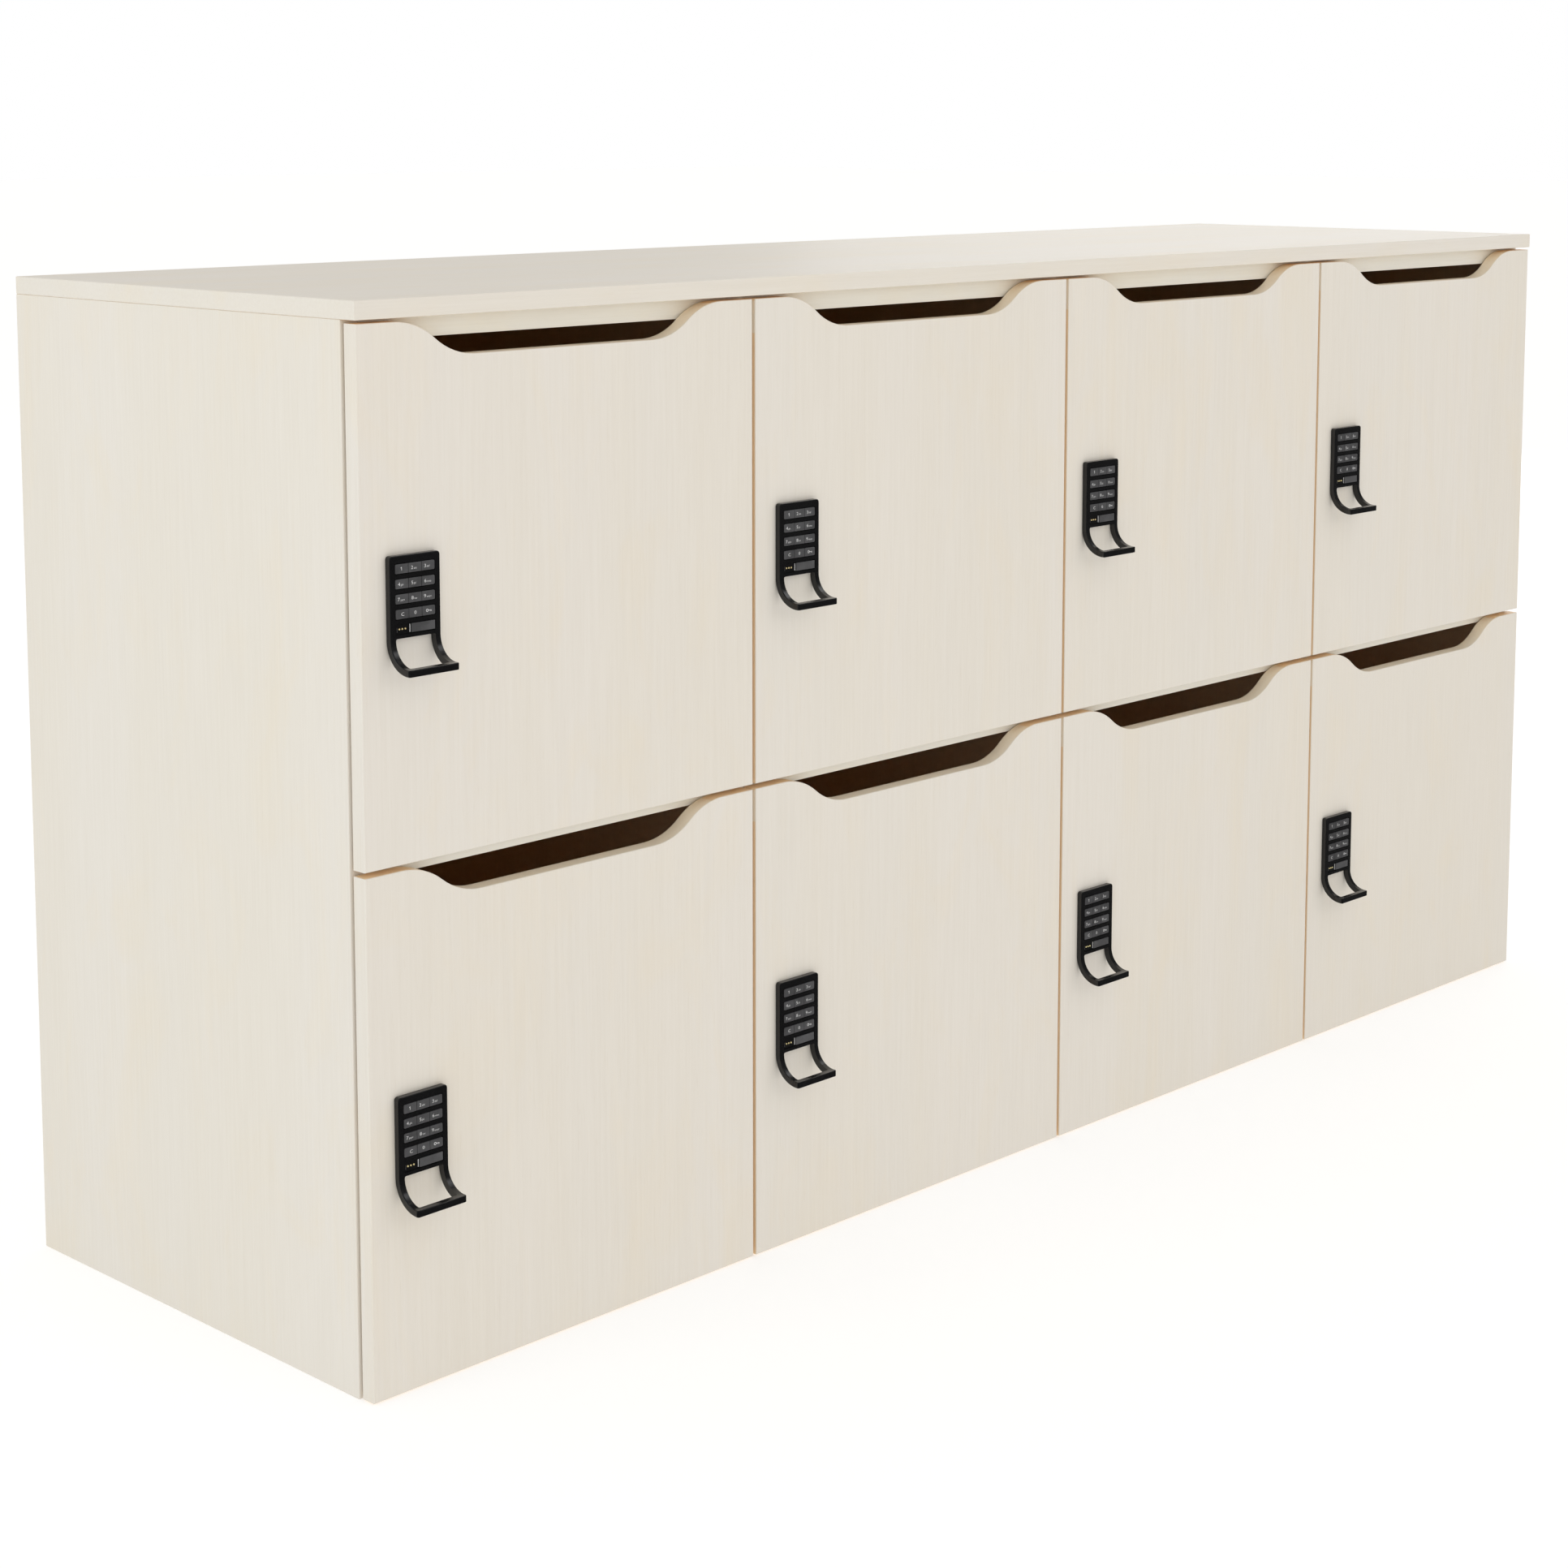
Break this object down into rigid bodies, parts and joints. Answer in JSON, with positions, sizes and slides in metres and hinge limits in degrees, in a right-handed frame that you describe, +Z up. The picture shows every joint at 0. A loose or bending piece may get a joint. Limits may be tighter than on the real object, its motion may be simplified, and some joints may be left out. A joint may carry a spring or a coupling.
{
  "type": "keypad locker bank",
  "caption": "Low bank of board lockers in two rows, with overlay doors, wave-shaped letter slots and keypad locks with looped pulls.",
  "frame": {"origin": "on the floor, at the centre of the top panel's footprint", "axes": "+X along the front towards the viewer's right, +Y from the doors to the back, +Z up"},
  "size_m": [1.8, 0.529, 0.917],
  "materials": {
    "birch_board": "satin melamine with a fine pale birch grain",
    "lock_black": "satin moulded plastic",
    "key_grey": "matt moulded plastic",
    "bolt_steel": "brushed",
    "hinge_steel": "nickel plated",
    "keeper_steel": "zinc plated"
  },
  "bodies": {
    "cabinet": {"top_panel": "birch_board", "carcass_top": "birch_board", "base_panel": "birch_board", "side_panel_left": "birch_board", "side_panel_right": "birch_board", "partition_left": "birch_board", "partition_centre": "birch_board", "partition_right": "birch_board", "mid_shelves": "birch_board", "back_panel": "birch_board", "hinge_arms": "hinge_steel", "lock_keepers": "keeper_steel"},
    "door_1": {"door_1_panel": "birch_board", "door_1_hinge_cups": "hinge_steel", "lock_1_housing": "lock_black", "lock_1_case": "lock_black"},
    "keypad_1": {"lock_1_keys": "key_grey"},
    "bolt_1": {"lock_1_bolt": "bolt_steel"},
    "door_2": {"door_2_panel": "birch_board", "door_2_hinge_cups": "hinge_steel", "lock_2_housing": "lock_black", "lock_2_case": "lock_black"},
    "keypad_2": {"lock_2_keys": "key_grey"},
    "bolt_2": {"lock_2_bolt": "bolt_steel"},
    "door_3": {"door_3_panel": "birch_board", "door_3_hinge_cups": "hinge_steel", "lock_3_housing": "lock_black", "lock_3_case": "lock_black"},
    "keypad_3": {"lock_3_keys": "key_grey"},
    "bolt_3": {"lock_3_bolt": "bolt_steel"},
    "door_4": {"door_4_panel": "birch_board", "door_4_hinge_cups": "hinge_steel", "lock_4_housing": "lock_black", "lock_4_case": "lock_black"},
    "keypad_4": {"lock_4_keys": "key_grey"},
    "bolt_4": {"lock_4_bolt": "bolt_steel"},
    "door_5": {"door_5_panel": "birch_board", "door_5_hinge_cups": "hinge_steel", "lock_5_housing": "lock_black", "lock_5_case": "lock_black"},
    "keypad_5": {"lock_5_keys": "key_grey"},
    "bolt_5": {"lock_5_bolt": "bolt_steel"},
    "door_6": {"door_6_panel": "birch_board", "door_6_hinge_cups": "hinge_steel", "lock_6_housing": "lock_black", "lock_6_case": "lock_black"},
    "keypad_6": {"lock_6_keys": "key_grey"},
    "bolt_6": {"lock_6_bolt": "bolt_steel"},
    "door_7": {"door_7_panel": "birch_board", "door_7_hinge_cups": "hinge_steel", "lock_7_housing": "lock_black", "lock_7_case": "lock_black"},
    "keypad_7": {"lock_7_keys": "key_grey"},
    "bolt_7": {"lock_7_bolt": "bolt_steel"},
    "door_8": {"door_8_panel": "birch_board", "door_8_hinge_cups": "hinge_steel", "lock_8_housing": "lock_black", "lock_8_case": "lock_black"},
    "keypad_8": {"lock_8_keys": "key_grey"},
    "bolt_8": {"lock_8_bolt": "bolt_steel"}
  },
  "joints": [
    {"name": "door_1_hinge", "type": "hinge", "parent": "cabinet", "child": "door_1", "pos_m": [-0.452, -0.249, 0.675], "axis": [0, 0, 1], "range_deg": [0, 110]},
    {"name": "lock_1_keys_press", "type": "slide", "parent": "door_1", "child": "keypad_1", "axis": [0, 1, 0], "range_m": [0, 0.0008], "stiffness_N_per_m": 500},
    {"name": "lock_1_bolt_throw", "type": "slide", "parent": "door_1", "child": "bolt_1", "axis": [-1, 0, 0], "range_m": [0, 0.008]},
    {"name": "door_2_hinge", "type": "hinge", "parent": "cabinet", "child": "door_2", "pos_m": [-0.002, -0.249, 0.675], "axis": [0, 0, 1], "range_deg": [0, 110]},
    {"name": "lock_2_keys_press", "type": "slide", "parent": "door_2", "child": "keypad_2", "axis": [0, 1, 0], "range_m": [0, 0.0008], "stiffness_N_per_m": 500},
    {"name": "lock_2_bolt_throw", "type": "slide", "parent": "door_2", "child": "bolt_2", "axis": [-1, 0, 0], "range_m": [0, 0.008]},
    {"name": "door_3_hinge", "type": "hinge", "parent": "cabinet", "child": "door_3", "pos_m": [0.448, -0.249, 0.675], "axis": [0, 0, 1], "range_deg": [0, 110]},
    {"name": "lock_3_keys_press", "type": "slide", "parent": "door_3", "child": "keypad_3", "axis": [0, 1, 0], "range_m": [0, 0.0008], "stiffness_N_per_m": 500},
    {"name": "lock_3_bolt_throw", "type": "slide", "parent": "door_3", "child": "bolt_3", "axis": [-1, 0, 0], "range_m": [0, 0.008]},
    {"name": "door_4_hinge", "type": "hinge", "parent": "cabinet", "child": "door_4", "pos_m": [0.898, -0.249, 0.675], "axis": [0, 0, 1], "range_deg": [0, 110]},
    {"name": "lock_4_keys_press", "type": "slide", "parent": "door_4", "child": "keypad_4", "axis": [0, 1, 0], "range_m": [0, 0.0008], "stiffness_N_per_m": 500},
    {"name": "lock_4_bolt_throw", "type": "slide", "parent": "door_4", "child": "bolt_4", "axis": [-1, 0, 0], "range_m": [0, 0.008]},
    {"name": "door_5_hinge", "type": "hinge", "parent": "cabinet", "child": "door_5", "pos_m": [-0.452, -0.249, 0.224], "axis": [0, 0, 1], "range_deg": [0, 110]},
    {"name": "lock_5_keys_press", "type": "slide", "parent": "door_5", "child": "keypad_5", "axis": [0, 1, 0], "range_m": [0, 0.0008], "stiffness_N_per_m": 500},
    {"name": "lock_5_bolt_throw", "type": "slide", "parent": "door_5", "child": "bolt_5", "axis": [-1, 0, 0], "range_m": [0, 0.008]},
    {"name": "door_6_hinge", "type": "hinge", "parent": "cabinet", "child": "door_6", "pos_m": [-0.002, -0.249, 0.224], "axis": [0, 0, 1], "range_deg": [0, 110]},
    {"name": "lock_6_keys_press", "type": "slide", "parent": "door_6", "child": "keypad_6", "axis": [0, 1, 0], "range_m": [0, 0.0008], "stiffness_N_per_m": 500},
    {"name": "lock_6_bolt_throw", "type": "slide", "parent": "door_6", "child": "bolt_6", "axis": [-1, 0, 0], "range_m": [0, 0.008]},
    {"name": "door_7_hinge", "type": "hinge", "parent": "cabinet", "child": "door_7", "pos_m": [0.448, -0.249, 0.224], "axis": [0, 0, 1], "range_deg": [0, 110]},
    {"name": "lock_7_keys_press", "type": "slide", "parent": "door_7", "child": "keypad_7", "axis": [0, 1, 0], "range_m": [0, 0.0008], "stiffness_N_per_m": 500},
    {"name": "lock_7_bolt_throw", "type": "slide", "parent": "door_7", "child": "bolt_7", "axis": [-1, 0, 0], "range_m": [0, 0.008]},
    {"name": "door_8_hinge", "type": "hinge", "parent": "cabinet", "child": "door_8", "pos_m": [0.898, -0.249, 0.224], "axis": [0, 0, 1], "range_deg": [0, 110]},
    {"name": "lock_8_keys_press", "type": "slide", "parent": "door_8", "child": "keypad_8", "axis": [0, 1, 0], "range_m": [0, 0.0008], "stiffness_N_per_m": 500},
    {"name": "lock_8_bolt_throw", "type": "slide", "parent": "door_8", "child": "bolt_8", "axis": [-1, 0, 0], "range_m": [0, 0.008]}
  ]
}
